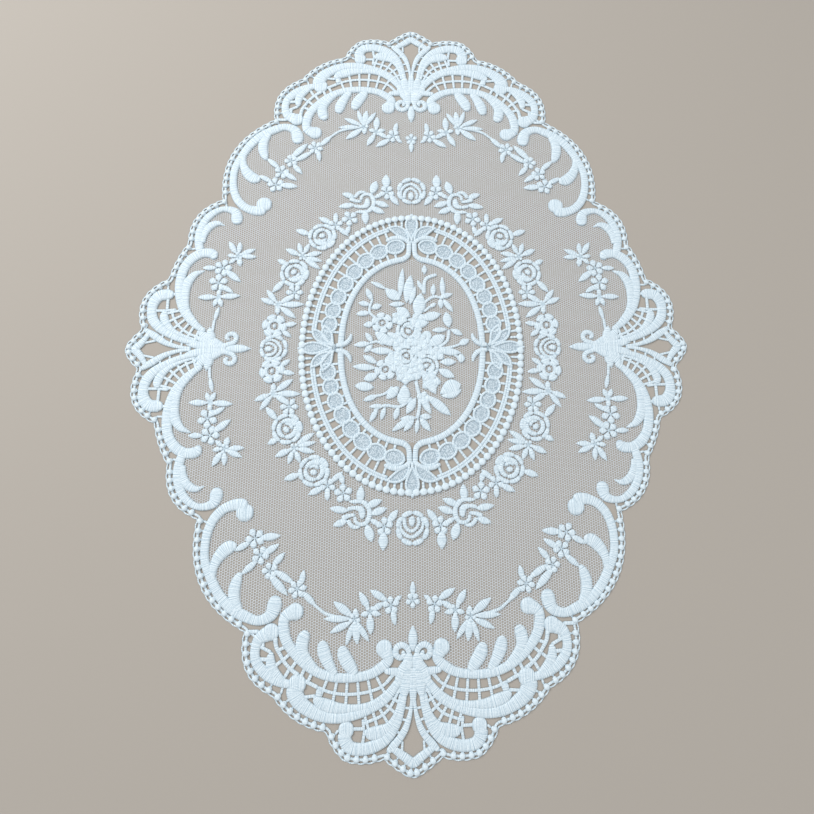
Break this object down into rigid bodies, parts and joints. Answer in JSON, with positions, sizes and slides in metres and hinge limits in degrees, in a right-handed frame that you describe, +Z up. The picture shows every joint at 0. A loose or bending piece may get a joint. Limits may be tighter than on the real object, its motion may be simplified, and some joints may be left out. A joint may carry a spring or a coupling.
{
  "type": "lace doily",
  "caption": "Flat oval lace doily: scalloped openwork scroll border, sheer net ground with flower garlands, oval openwork ring and a centre bouquet.",
  "frame": {"origin": "centre of the underside, on the surface that the doily lies on", "axes": "+Y along the long side, +X along the short side, +Z up out of the face"},
  "size_m": [0.3, 0.4, 0.0016],
  "materials": {
    "satin_thread": "bluish white polyester embroidery thread in satin stitch, slight sheen",
    "net_thread": "fine white knitted net, matt and sheer"
  },
  "bodies": {
    "root": {"scroll_border": "satin_thread", "oval_ring": "satin_thread", "net_ground": "net_thread", "net_centre": "net_thread"}
  },
  "joints": []
}
